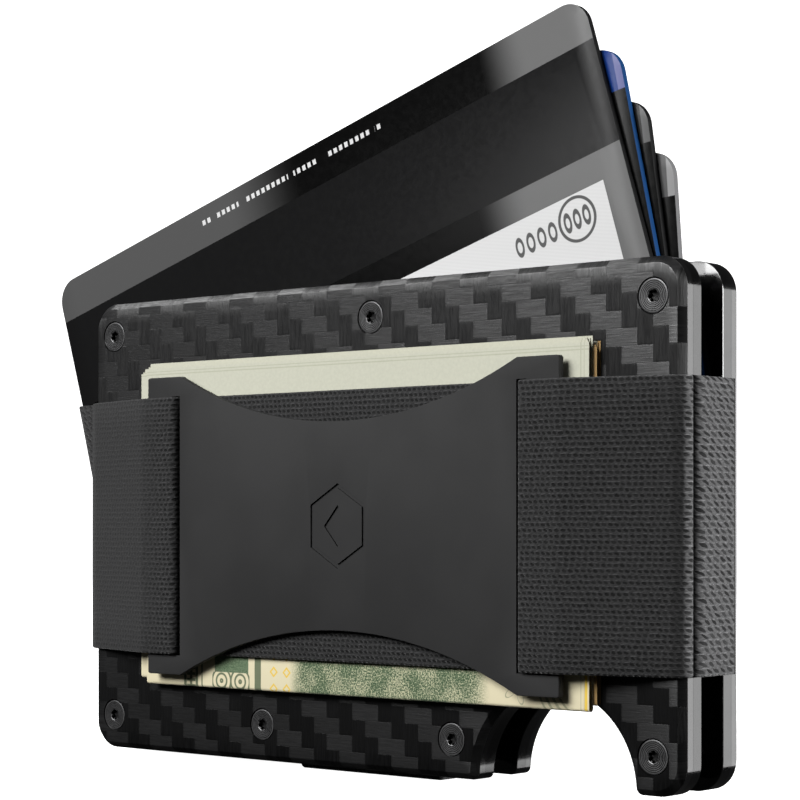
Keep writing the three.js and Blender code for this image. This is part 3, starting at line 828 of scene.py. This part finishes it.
class WALLET_OT_main_elastic(bpy.types.Operator):
    """Build the wide elastic that pulls the plates together, pushed out by the cards at the left"""

    bl_idname = "wallet.main_elastic"
    bl_label = "Main Elastic"

    def execute(self, context):
        thickness = context.scene.wallet_sizes.band
        half = thickness / 2
        front, back = MAIN_LOW.y + half, MAIN_HIGH.y - half
        right = MAIN_HIGH.x - half
        left = -right
        cards = [card_axes(i) for i in range(1, CARD_COUNT + 1)]
        # More room behind the rear cards keeps the band off them when the plates open.
        rooms = (0.62 * MM, 0.85 * MM, 1.4 * MM, 2.4 * MM)

        def pushed(z):
            corners = []
            for room, (middle, along, _, low, high) in zip(rooms, cards):
                tilt = along.z / along.x
                edge = middle.x - CARD_HALF_X / along.x - (z - middle.z) * tilt
                corners += [(edge - room, low), (edge - room, high)]
            return corners

        def left_reach(y, corners):
            reach = left
            line = [(left, front), *corners, (left, back)]
            for a in line:
                for b in line:
                    if a[1] < b[1] and a[1] <= y <= b[1]:
                        share = (y - a[1]) / (b[1] - a[1])
                        reach = min(reach, a[0] + share * (b[0] - a[0]))
            return reach

        def path_at(z):
            corners = pushed(z)
            reaches = []
            steps = 18
            for i in range(steps + 1):
                y = back + (front - back) * i / steps
                reaches.append((left_reach(y, corners), y))
            smooth = [reaches[0]]
            for before, here, after in zip(reaches, reaches[1:], reaches[2:]):
                smooth.append(((before[0] + 2 * here[0] + after[0]) / 4, here[1]))
            smooth.append(reaches[-1])
            inset, turn, end_turn = 1.2 * MM, 0.8 * MM, 0.3 * MM
            flat, side = right - left - 2 * inset, back - front - turn - end_turn
            start = [(left + inset, back), (left + 0.2 * MM, back)]
            end = [(left + 0.2 * MM, front), (left + inset, front)]
            along_front = [(left + inset + flat * i / 12, front) for i in range(1, 13)]
            corner_a = [(right - 0.35 * MM, front + 0.12 * MM), (right - 0.1 * MM, front + 0.4 * MM),
                        (right, front + turn)]
            rise = [(right, front + turn + side * i / 14) for i in range(1, 15)]
            corner_b = [(right - 0.1 * MM, back - 0.05 * MM)]
            along_back = [(right - inset - flat * i / 12, back) for i in range(12)]
            return start + smooth[1:-1] + end + along_front + corner_a + rise + corner_b + along_back

        yarn = tuple(context.scene.wallet_colours.elastic)
        weave = elastic_weave("main_weave", yarn, ELASTIC_HOLE_SHADE, slant=0.7, stitch=1.85, rise=1.2)
        levels = band_levels(MAIN_LOW.z, MAIN_HIGH.z, 12)
        piece = band("main_band", path_at, levels, thickness, True, weave)
        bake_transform(piece)
        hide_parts("main_elastic")
        return {"FINISHED"}


class WALLET_OT_foot_elastic(bpy.types.Operator):
    """Build the narrow elastic that joins the plates along the bottom"""

    bl_idname = "wallet.foot_elastic"
    bl_label = "Foot Elastic"

    def execute(self, context):
        thickness = context.scene.wallet_sizes.band
        half = thickness / 2
        front, back = FOOT_LOW.y + half, FOOT_HIGH.y - half
        bottom, top = FOOT_LOW.z + half, FOOT_HIGH.z
        corners = [(front, top), (front, bottom), (back, bottom), (back, top)]
        line = spaced(eased(corners, 0.45 * MM), 0.8 * MM)
        weave = elastic_weave("foot_weave", tuple(context.scene.wallet_colours.elastic), ELASTIC_HOLE_SHADE)
        levels = band_levels(FOOT_LOW.x, FOOT_HIGH.x, 8)
        piece = band("foot_band", lambda x: line, levels, thickness, False, weave)
        # The band is drawn as if it stood upright, then laid along the wallet.
        turn = Matrix(((0, 0, 1, 0), (1, 0, 0, 0), (0, 1, 0, 0), (0, 0, 0, 1)))
        piece.data.transform(turn)
        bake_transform(piece)
        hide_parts("foot_elastic")
        return {"FINISHED"}


class WALLET_OT_cash_elastic(bpy.types.Operator):
    """Build the elastic that holds the strap plate: behind it, through its slots and round the ends"""

    bl_idname = "wallet.cash_elastic"
    bl_label = "Cash Elastic"

    def execute(self, context):
        thickness = context.scene.wallet_sizes.band
        half = thickness / 2
        gap = 0.04 * MM
        behind = STRAP_HIGH.y + gap + half
        slot = (SLOT_INNER + SLOT_OUTER) / 2
        face = STRAP_LOW.y - half - gap
        tab = STRAP_HIGH.x + 0.25 * MM
        bend = PLATE_HIGH.x - 0.9 * MM
        end = CASH_HIGH.x - half
        hidden = CASH_HIGH.y - half
        yarn, hole_shade = tuple(context.scene.wallet_colours.elastic), (0.0035, 0.0035, 0.0036)
        weave = elastic_weave("cash_weave", yarn, hole_shade)
        tight = elastic_weave("cash_weave_tight", yarn, hole_shade, calm_from=slot / MM + 1.5)
        levels = band_levels(CASH_LOW.z, CASH_HIGH.z, 10)
        middle = spaced([(-slot - 0.2 * MM, behind), (slot + 0.2 * MM, behind)], 2 * MM)
        centre = band("cash_band_middle", lambda z: middle, levels, thickness, False, weave)
        stand_for(centre, "strap_plate", "elastic", "cash_elastic")
        hidden_reach = 42.4 * MM
        rear = spaced([(-hidden_reach, hidden), (hidden_reach, hidden)], 4 * MM)
        rear_piece = band("cash_band_rear", lambda z: rear, levels, thickness, False, weave)
        stand_for(rear_piece, "front_assembly", "elastic", "cash_elastic")
        corners = [(slot, behind - 0.1 * MM), (slot, face), (tab, face), (bend, FACE_Y - half - 0.02 * MM),
                   (end, FACE_Y + 0.35 * MM), (end - 0.02 * MM, FACE_Y + 0.8 * MM),
                   (end - 0.45 * MM, hidden - 0.15 * MM), (hidden_reach, hidden)]
        line = spaced(eased(corners, 0.5 * MM), 0.9 * MM)
        for name, side in (("left", -1), ("right", 1)):
            route = [(side * x, y) for x, y in line]
            piece = band(f"cash_band_{name}", lambda z: route, levels, thickness, False,
                         tight if side < 0 else weave, flat_shift=slot)
            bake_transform(piece)
            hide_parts("cash_elastic")
        return {"FINISHED"}


def strap_outline():
    """The strap plate's outline: tabs at both ends and an arched waist between them."""
    x, z = STRAP_HIGH.x, STRAP_HIGH.z
    arch, waist, corner = SLOT_INNER, 11.5 * MM, 0.3 * MM
    rise = z - waist
    radius = (arch ** 2 + rise ** 2) / (2 * rise)
    swing = math.degrees(math.asin(arch / radius))
    low = arc((0, -waist - radius), radius, 90 + swing, 90 - swing, 40)
    high = arc((0, waist + radius), radius, swing - 90, -90 - swing, 40)
    outline = low + arc((x - corner, -z + corner), corner, -90, 0, 5)
    outline += arc((x - corner, z - corner), corner, 0, 90, 5)
    outline += high + arc((-x + corner, z - corner), corner, 90, 180, 5)
    return outline + arc((-x + corner, -z + corner), corner, 180, 270, 5)


class WALLET_OT_strap_plate(bpy.types.Operator):
    """Build the strap plate with its slots and its pressed mark"""

    bl_idname = "wallet.strap_plate"
    bl_label = "Strap Plate"

    def execute(self, context):
        front, back = STRAP_LOW.y, STRAP_HIGH.y
        profile = soft_edges(back, front, 0.12 * MM)
        piece = layered("strap_plate_moulding", strap_outline(), profile, [], [strap_moulding()])
        slot_half_z, past = 15.12 * MM, 1 * MM
        slots = []
        for low_x, high_x in ((-SLOT_OUTER, -SLOT_INNER), (SLOT_INNER, SLOT_OUTER)):
            slots.append((Vector((low_x, front - past, -slot_half_z)),
                          Vector((high_x, back + past, slot_half_z))))
        cut(piece, slots)
        self.press_mark(piece, front)
        stand_for(piece, "strap_plate", "strap_plate", "strap_plate")
        return {"FINISHED"}

    def press_mark(self, piece, front):
        """Presses a hexagon line round a diamond into the front face."""
        depth, line = 0.2 * MM, 0.45 * MM

        def hexagon(inset):
            x, z = 4 * MM - inset, 4.7 * MM - 1.15 * inset
            return [(0, -z), (x, -z / 2), (x, z / 2), (0, z), (-x, z / 2), (-x, -z / 2)]

        diamond = [(0, -2.3 * MM), (2 * MM, 0), (0, 2.3 * MM), (-2 * MM, 0)]
        ring = [hexagon(0), hexagon(line)]
        for loops in (ring, [diamond]):
            bm = bmesh.new()
            sheets = []
            for y in (front - 1 * MM, front + depth):
                sheets.append([[bm.verts.new((x, y, z)) for x, z in loop] for loop in loops])
            for near, far in zip(*sheets):
                for i in range(len(near)):
                    bm.faces.new((near[i - 1], near[i], far[i], far[i - 1]))
            for sheet in sheets:
                edges = [bm.edges.get((loop[i - 1], loop[i])) for loop in sheet for i in range(len(loop))]
                bmesh.ops.triangle_fill(bm, use_beauty=True, edges=edges)
            carve(piece, from_bmesh("stamp", bm, []))
        piece.data.set_sharp_from_angle(angle=math.radians(CREASE))


# ------------------------------------------------------------------------- cards

def card_print(name, light, middle, lit_from, middle_from, marked):
    """The back of a bank card: a dark stripe, and bands of painted reflection that fade from dark to two
    lighter tones.

    A marked card also has a lower band, a signing panel, rows of rings and a row of bars."""
    s = Shader(name)
    u, v = s.unwrapped()
    dark = (0.0022, 0.0022, 0.0022)
    lit = s.ramp(u, *lit_from)
    half_lit = s.ramp(u, *middle_from)
    bands = s.mix(lit, s.mix(half_lit, dark, middle), light)
    stripe_low, stripe_top = 10.7, 22.1
    # The lower band of a marked card fades from dark to the light tone: painted reflection too.
    lower = s.mix(s.ramp(u, 23.2, 30.2), dark, light) if marked else dark
    colour = s.mix(s.math("LESS_THAN", v, stripe_low), bands, lower)
    stripe = s.inside(v, stripe_low, stripe_top)
    grain = s.noise(s.join(s.times(u, 0.6), s.times(v, 9.0)), 1.0, 3.0)
    stripe_tone = s.mix(grain, (0.0062, 0.0062, 0.0064), (0.0074, 0.0074, 0.0076)) if marked else dark
    colour = s.mix(stripe, colour, stripe_tone)
    panel = 0.0
    if marked:
        panel = s.times(s.inside(u, -26.0, 39.7), s.inside(v, -2.0, 7.55))
        weave = s.math("SINE", s.times(s.plus(u, s.times(v, 2.2)), 7.0))
        panel_tone = s.mix(s.ramp(weave, -1.0, 1.0), (0.565, 0.565, 0.565), (0.585, 0.585, 0.585))
        colour = s.mix(panel, colour, panel_tone)
        colour = s.mix(ring_marks(s, u, v), colour, (0.09, 0.09, 0.09))
        colour = s.mix(bar_marks(s, u, v), colour, (0.55, 0.55, 0.55))
    s.bump(s.plus(s.times(panel, 0.6), s.times(stripe, 0.25)), 0.3, 0.03 * MM)
    scuff = s.noise(s.place(), 1.6, 4.0, 0.6)
    rough = s.ramp(scuff, 0.3, 0.7, 0.18, 0.24)
    return s.finish(Base_Color=colour, Roughness=s.blend(panel, rough, 0.7), Specular_IOR_Level=0.07)


def ring_marks(s, u, v):
    """Rows of small oval rings where a card's number would be, the last three inside one ring."""
    # Each ring has its centre, half width, half height and stroke, in millimetres.
    rings = [(27.6 + 1.5 * i, 4.75, 0.44, 0.86, 0.13) for i in range(4)]
    rings += [(34.2 + 1.25 * i, 4.9, 0.38, 0.84, 0.13) for i in range(3)]
    rings += [(35.45, 4.9, 2.3, 2.3, 0.17)]
    marks = 0.0
    for centre_u, centre_v, wide, tall, stroke in rings:
        across = s.math("DIVIDE", s.minus(u, centre_u), wide)
        up = s.math("DIVIDE", s.minus(v, centre_v), tall)
        off = s.math("ABSOLUTE", s.minus(s.length(across, up), 1.0))
        line = s.ramp(off, 0.8 * stroke / wide, 1.2 * stroke / wide, 1.0, 0.0)
        marks = s.math("MAXIMUM", marks, line)
    return marks


def bar_marks(s, u, v):
    """A row of short bars where a line of small print would be."""
    start, end, level, half = -16.4, 13.4, 25.0, 0.3
    wave = s.math("SINE", s.times(u, 7.4))
    uneven = s.plus(s.times(u, 0.95), s.math("SINE", s.times(u, 0.5)))
    words = s.math("SINE", uneven)
    bars = s.times(s.math("GREATER_THAN", wave, -0.3), s.math("GREATER_THAN", words, -0.82))
    row = s.times(s.inside(u, start, end), s.inside(v, level - half, level + half))
    return s.times(bars, row)


def card_plastic(name, colour):
    """Plain card core and rear face, faintly mottled."""
    s = Shader(name)
    place = s.place()
    mottle = s.noise(place, 1.1, 4.0, 0.55)
    lighter = tuple(min(1.0, 1.25 * c + 0.002) for c in colour)
    s.bump(s.noise(place, 20.0, 2.0), 0.06, 0.01 * MM)
    return s.finish(Base_Color=s.mix(mottle, colour, lighter), Specular_IOR_Level=0.06,
                    Roughness=s.ramp(mottle, 0.3, 0.7, 0.5, 0.62))


class WALLET_OT_cards(bpy.types.Operator):
    """Build the four fanned cards with their printed faces"""

    bl_idname = "wallet.cards"
    bl_label = "Cards"

    def execute(self, context):
        # Where along a card the painted reflection's light tone fades in, then where its middle tone does,
        # in millimetres.
        front_fade = ((28.0, 34.4), (0.5, -12.5))
        rear_fade = ((41.9, 42.0), (40.6, 41.2))
        near_black = (0.0025, 0.0025, 0.0027)
        # Each card's light and middle tones are painted reflection over its own colour.
        finishes = [
            ("card_grey", (0.125, 0.125, 0.125), (0.068, 0.068, 0.068), front_fade, near_black),
            ("card_blue", (0.13, 0.14, 0.3), (0.004, 0.03, 0.17), rear_fade, (0.002, 0.026, 0.09)),
            ("card_black", (0.11, 0.11, 0.11), (0.012, 0.012, 0.012), rear_fade, near_black),
            ("card_silver", (0.26, 0.26, 0.262), (0.07, 0.07, 0.071), rear_fade, (0.1, 0.1, 0.102)),
        ]
        corner = context.scene.wallet_sizes.card_corner
        outline = rounded_rectangle(CARD_HALF_X, CARD_HALF_Z, corner, 14)
        for number, (slot, light, tint, fade, body) in enumerate(finishes, 1):
            middle, along, up, low, high = card_axes(number)
            print_face = card_print(f"{slot}_print", light, tint, *fade, number == 1)
            materials = [print_face, card_plastic(f"{slot}_core", body)]
            piece = layered(f"{slot}_{number}", outline, soft_edges(low, high, 0.07 * MM), [], materials)
            mesh = piece.data
            layer = mesh.uv_layers.new(name="flat")
            for loop in mesh.loops:
                point = mesh.vertices[loop.vertex_index].co
                layer.data[loop.index].uv = (point.x / MM, point.z / MM)
            for polygon in mesh.polygons:
                polygon.material_index = 0 if polygon.normal.y < -0.9 else 1
            place = Matrix.Identity(4)
            place.col[0][:3], place.col[2][:3] = along, up
            place.col[3][:3] = Vector((middle.x, 0, middle.z))
            mesh.transform(place)
            stand_for(piece, f"card_{number}", slot, f"card_{number}")
        return {"FINISHED"}


# ------------------------------------------------------------------------- notes

def ruled_frame(s, x, z):
    """Two thin lines near the top of a note and two near its right edge."""
    top = s.math("MAXIMUM", s.inside(z, 17.85, 17.98), s.inside(z, 18.2, 18.3))
    side = s.math("MAXIMUM", s.inside(x, 31.6, 31.75), s.inside(x, 32.05, 32.15))
    return s.math("MAXIMUM", top, side)


def ruled_border(s, x, z):
    """Upright bars crossed by rungs, loops of fine line and one broad bar, left of the speckles."""
    bars = s.times(s.inside(x, -26.2, -22.6),
                   s.math("GREATER_THAN", s.math("SINE", s.times(x, 6.6)), 0.25))
    rungs = s.times(s.inside(x, -25.2, -23.8),
                    s.math("GREATER_THAN", s.math("SINE", s.times(z, 9.0)), 0.1))
    loop_x = s.minus(s.math("FLOORED_MODULO", s.plus(x, 21.0), 3.0), 1.5)
    loop_z = s.plus(z, 17.9)
    rounds = s.math("SINE", s.times(s.length(loop_x, loop_z), 9.5))
    loops = s.math("GREATER_THAN", rounds, 0.35)
    loops = s.times(loops, s.inside(x, -21.0, -15.0))
    loops = s.times(loops, s.math("LESS_THAN", z, -16.9))
    edge_bar = s.inside(x, -14.2, -13.2)
    return s.math("MAXIMUM", s.math("MAXIMUM", bars, rungs), s.math("MAXIMUM", loops, edge_bar))


def scroll_marks(s, x, z):
    """A five-petalled line and rings of fine arcs near a note's right end."""
    petal_x, petal_z = s.minus(x, 23.6), s.plus(z, 16.6)
    turn = s.math("ARCTAN2", petal_z, petal_x)
    rim = s.plus(1.15, s.times(s.math("COSINE", s.times(turn, 5.0)), 0.75))
    off_rim = s.math("ABSOLUTE", s.minus(s.length(petal_x, petal_z), rim))
    petals = s.math("LESS_THAN", off_rim, 0.09)
    arc_out = s.length(s.minus(x, 34.0), s.plus(z, 14.0))
    arcs = s.times(s.inside(arc_out, 6.0, 8.4),
                   s.math("GREATER_THAN", s.math("SINE", s.times(arc_out, 8.5)), 0.3))
    return s.math("MAXIMUM", petals, arcs)


def gilt_marks(s, x, z):
    """Two columns of small lozenges, and a thin line at a note's right edge."""
    cell = s.minus(s.math("FLOORED_MODULO", s.plus(z, 0.4), 1.9), 0.95)
    marks = s.inside(x, 32.15, 32.5)
    for centre in (-11.2, -9.2):
        lozenge = s.plus(s.math("ABSOLUTE", s.minus(x, centre)), s.math("ABSOLUTE", cell))
        ring = s.math("LESS_THAN", s.math("ABSOLUTE", s.minus(lozenge, 0.5)), 0.13)
        marks = s.math("MAXIMUM", marks, ring)
    return marks


def note_paper():
    """Cream note paper with soft mottling and generic green engraving along its lower edge."""
    colours = bpy.context.scene.wallet_colours
    s = Shader("note_paper")
    place = s.place()
    x, _, z = s.split(place)
    fibres = s.noise(place, 3.0, 5.0, 0.65)
    paper, ink = tuple(colours.paper), tuple(colours.ink)
    warm = (paper[0] * 1.28, paper[1] * 1.16, paper[2] * 0.97)
    cool = s.mix(s.ramp(fibres, 0.3, 0.7), tuple(0.93 * c for c in paper), paper)
    low_part = s.ramp(z, -12.0, -9.0, 1.0, 0.0)
    tone = s.mix(low_part, cool, warm)
    # Thin printed frame, and painted shade in warm brown on the rear packet's right end, where it shows
    # past the front packet
    tone = s.mix(s.times(ruled_frame(s, x, z), 0.35), tone, (0.25, 0.26, 0.16))
    tone = s.mix(s.times(s.math("GREATER_THAN", x, 32.72), 0.85), tone, (0.36, 0.2, 0.05))
    # Speckled engraving patch
    flat = s.join(x, 0.0, z)
    coarse = s.noise(flat, 0.35, 3.0, 0.6)
    speck = s.noise(flat, 5.5, 4.0, 0.75)
    patch = s.times(s.ramp(x, -9.0, -6.6), s.ramp(x, 17.6, 20.2, 1.0, 0.0))
    dense = s.ramp(coarse, 0.35, 0.65, 0.5, 0.44)
    dots = s.ramp(s.minus(speck, dense), -0.05, 0.06)
    wash = s.times(patch, s.ramp(coarse, 0.3, 0.7, 0.35, 0.62))
    tone = s.mix(s.times(wash, low_part), tone, (0.26, 0.34, 0.20))
    tone = s.mix(s.times(s.times(dots, patch), low_part), tone, ink)
    # Shaded block with the border over it, then the scroll and the gilding
    block = s.times(s.inside(x, -20.6, -15.2), s.inside(z, -16.9, -13.0))
    block_tone = s.mix(s.ramp(speck, 0.4, 0.6), ink, (0.16, 0.22, 0.13))
    tone = s.mix(s.times(block, low_part), tone, block_tone)
    tone = s.mix(s.times(s.times(ruled_border(s, x, z), 0.85), low_part), tone, ink)
    tone = s.mix(s.times(s.times(scroll_marks(s, x, z), low_part), 0.5), tone, ink)
    tone = s.mix(s.times(gilt_marks(s, x, z), low_part), tone, (0.72, 0.5, 0.08))
    s.bump(fibres, 0.12, 0.03 * MM)
    return s.finish(Base_Color=tone, Roughness=0.75, Specular_IOR_Level=0.25, Sheen_Weight=0.1)


def note_edge():
    """Cut edges of the notes: paper with warm painted shade, slightly darker, in fine layers."""
    s = Shader("note_edge")
    x, y, z = s.split(s.place())
    layers = s.math("SINE", s.times(y, 60.0))
    grain = s.noise(s.join(x, s.times(y, 8.0), z), 3.0, 3.0)
    tone = s.mix(s.ramp(layers, -0.4, 0.8), (0.15, 0.09, 0.025), (0.40, 0.29, 0.13))
    tone = s.mix(s.times(grain, 0.4), tone, (0.27, 0.24, 0.16))
    return s.finish(Base_Color=tone, Roughness=0.8)


class WALLET_OT_banknotes(bpy.types.Operator):
    """Build the two packets of folded notes, each of nested folded leaves"""

    bl_idname = "wallet.banknotes"
    bl_label = "Banknotes"

    def execute(self, context):
        materials = [note_paper(), note_edge()]
        for name, node in (("note_packet_front", "banknote_front"), ("note_packet_rear", "banknote_rear")):
            low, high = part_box(node)
            points, faces, slots = [], [], []
            for leaf in range(3):
                self.add_leaf(points, faces, slots, low, high, leaf)
            piece = stock(name, points, faces, materials, crease=45, slots=slots)
            face_outwards(piece.data)
            stand_for(piece, "banknotes", "banknote", node)
        return {"FINISHED"}

    def add_leaf(self, points, faces, slots, low, high, leaf):
        """One folded leaf: up the front, round the fold at the bottom and up the back."""
        sheet = 0.095 * MM
        gap = 0.125 * MM
        radius = (high.y - low.y) / 2 - leaf * gap
        middle = (high.y + low.y) / 2
        fold = low.z + (high.y - low.y) / 2
        top_front = high.z - (0.75 - 0.22 * leaf) * MM
        top_back = high.z - (0.1 + 0.25 * leaf) * MM
        # Each entry of the line is the share of the radius outwards and downwards, and a height.
        line = [(-1, 0, top_front + (fold - top_front) * i / 14) for i in range(14)]
        line += [(-math.cos(math.pi * i / 10), -math.sin(math.pi * i / 10), fold) for i in range(11)]
        line += [(1, 0, fold + (top_back - fold) * i / 14) for i in range(1, 15)]
        left = low.x + 0.18 * leaf * MM
        right = high.x - 0.22 * leaf * MM
        columns = 24
        start = len(points)
        rows = len(line)
        for side in (0, 1):
            reach = radius - side * sheet
            for i in range(columns + 1):
                x = left + (right - left) * i / columns
                for out, down, z in line:
                    ripple = 0.02 * MM * math.sin(x / (7.5 * MM) + leaf) * math.sin(z / (6 * MM))
                    fade = min(1.0, abs(z - fold) / (4 * MM))
                    points.append((x, middle + out * reach + ripple * fade, z + down * reach))
        block = (columns + 1) * rows

        def at(side, i, k):
            return start + side * block + i * rows + k

        def face(slot, *corners):
            faces.append(corners)
            slots.append(slot)

        for i in range(columns):
            for k in range(rows - 1):
                face(0, at(0, i, k), at(0, i + 1, k), at(0, i + 1, k + 1), at(0, i, k + 1))
                face(0, at(1, i, k), at(1, i, k + 1), at(1, i + 1, k + 1), at(1, i + 1, k))
            for k in (0, rows - 1):
                face(1, at(0, i, k), at(1, i, k), at(1, i + 1, k), at(0, i + 1, k))
        for i in (0, columns):
            for k in range(rows - 1):
                face(1, at(0, i, k), at(0, i, k + 1), at(1, i, k + 1), at(1, i, k))


# ------------------------------------------------------------------------- stage

def studio_white():
    """Matt white studio paper that glows behind the wallet, as far as the main view reaches."""
    s = Shader("studio_white")
    place = s.node("ShaderNodeTexCoord").outputs["Object"]
    x, y, _ = s.split(place)
    mottle = s.noise(place, 10.0, 2.0)
    reach = s.plus(s.times(x, VIEW_BACK.x), s.times(y, VIEW_BACK.y))
    aside = s.minus(s.times(x, VIEW_BACK.y), s.times(y, VIEW_BACK.x))
    spread = s.times(s.plus(reach, 0.26), 0.19)
    outside = s.minus(s.math("ABSOLUTE", aside), spread)
    glow = s.times(s.ramp(reach, -0.07, -0.035), s.ramp(outside, 0.01, 0.06, 1.0, 0.0))
    return s.finish(Base_Color=s.mix(mottle, (0.84, 0.84, 0.84), (0.88, 0.88, 0.88)), Roughness=0.9,
                    Emission_Color=(1.0, 1.0, 1.0), Emission_Strength=glow)


def soft_light(name, place, aim, size, power):
    """A white area light, with its size in metres and its power in watts."""
    data = bpy.data.lights.new(name, "AREA")
    data.shape = "RECTANGLE"
    data.size, data.size_y = size
    data.energy = power
    light = bpy.data.objects.new(name, data)
    bpy.context.scene.collection.objects.link(light)
    light.location = place
    light.rotation_euler = (Vector(aim) - Vector(place)).to_track_quat("-Z", "Y").to_euler()


class WALLET_OT_stage(bpy.types.Operator):
    """Build the camera, the pale floor and the studio lights"""

    bl_idname = "wallet.stage"
    bl_label = "Stage"

    def execute(self, context):
        scene = context.scene
        scene.view_settings.view_transform = "Standard"
        data = bpy.data.cameras.new("camera")
        camera = bpy.data.objects.new("camera", data)
        scene.collection.objects.link(camera)
        # A long lens at the right of the wallet, level with its middle and shifted up.
        data.lens, data.sensor_width = 103.905, 36.0
        data.shift_y = 0.15363
        data.clip_start, data.clip_end = 0.01, 20.0
        camera.location = (0.16942, FACE_Y - 0.19140, 0.00034)
        camera.rotation_euler = (math.radians(90), 0, VIEW_TURN)
        scene.camera = camera

        floor_z = FOOT_LOW.z - 0.02 * MM
        side = Vector((VIEW_BACK.y, -VIEW_BACK.x, 0))
        half_width, bend_from, bend, height = 6.0, 1.0, 0.6, 2.4
        profile = [(-half_width, 0.0), (bend_from, 0.0)]
        profile += [(bend_from + bend * math.sin(a), bend - bend * math.cos(a))
                    for a in (math.radians(9 * i) for i in range(1, 11))]
        profile += [(bend_from + bend, height)]
        sweep = [VIEW_BACK * reach + side * wide + Vector((0, 0, floor_z + up))
                 for reach, up in profile for wide in (-half_width, half_width)]
        faces = [(2 * i, 2 * i + 1, 2 * i + 3, 2 * i + 2) for i in range(len(profile) - 1)]
        paper = stock("studio_sweep", sweep, faces, [studio_white()])
        # The glowing paper shows behind the wallet without lighting its dark faces.
        paper.visible_diffuse = paper.visible_glossy = False

        world = bpy.data.worlds.new("studio_world")
        scene.world = world
        world.use_nodes = True
        world.node_tree.nodes["Background"].inputs["Color"].default_value = (1, 1, 1, 1)
        world.node_tree.nodes["Background"].inputs["Strength"].default_value = 0.02

        middle = (0, FACE_Y, 0)
        soft_light("key_light", (-0.30, -1.45, 0.95), middle, (0.8, 0.8), 42.0)
        soft_light("face_light", (-0.40, -0.64, 0.30), middle, (0.20, 0.20), 1.3)
        soft_light("chamfer_light", (-0.50, 0.02, 0.62), middle, (0.40, 0.25), 2.0)
        soft_light("wall_light", (0.52, 0.64, -0.04), (0.04, 0, 0), (0.36, 0.44), 1.4)
        soft_light("side_light", (0.75, 0.24, 0.14), (0.04, 0, 0), (0.3, 0.3), 12.0)
        return {"FINISHED"}


class WALLET_PT_panel(bpy.types.Panel):
    """Lists the wallet's pieces and settings"""

    bl_label = "Card Wallet"
    bl_idname = "WALLET_PT_panel"
    bl_space_type = "VIEW_3D"
    bl_region_type = "UI"
    bl_category = "Wallet"

    def draw(self, context):
        layout = self.layout
        for name in ("wallet_sizes", "wallet_colours"):
            group = getattr(context.scene, name)
            box = layout.box()
            for key in group.__annotations__:
                box.prop(group, key)
        for operator in OPERATORS:
            layout.operator(operator.bl_idname)


OPERATORS = (
    WALLET_OT_stage,
    WALLET_OT_carbon_plates,
    WALLET_OT_inner_plates,
    WALLET_OT_screws,
    WALLET_OT_main_elastic,
    WALLET_OT_foot_elastic,
    WALLET_OT_cash_elastic,
    WALLET_OT_strap_plate,
    WALLET_OT_cards,
    WALLET_OT_banknotes,
)
CLASSES = (WalletSizes, WalletColours, *OPERATORS, WALLET_PT_panel)


def register():
    for cls in CLASSES:
        bpy.utils.register_class(cls)
    bpy.types.Scene.wallet_sizes = PointerProperty(type=WalletSizes)
    bpy.types.Scene.wallet_colours = PointerProperty(type=WalletColours)


def unregister():
    del bpy.types.Scene.wallet_colours
    del bpy.types.Scene.wallet_sizes
    for cls in reversed(CLASSES):
        bpy.utils.unregister_class(cls)


def main():
    register()
    bpy.ops.wallet.stage()
    bpy.ops.wallet.carbon_plates()
    bpy.ops.wallet.inner_plates()
    bpy.ops.wallet.screws()
    bpy.ops.wallet.main_elastic()
    bpy.ops.wallet.foot_elastic()
    bpy.ops.wallet.cash_elastic()
    bpy.ops.wallet.strap_plate()
    bpy.ops.wallet.cards()
    bpy.ops.wallet.banknotes()


if __name__ == "__main__":
    main()
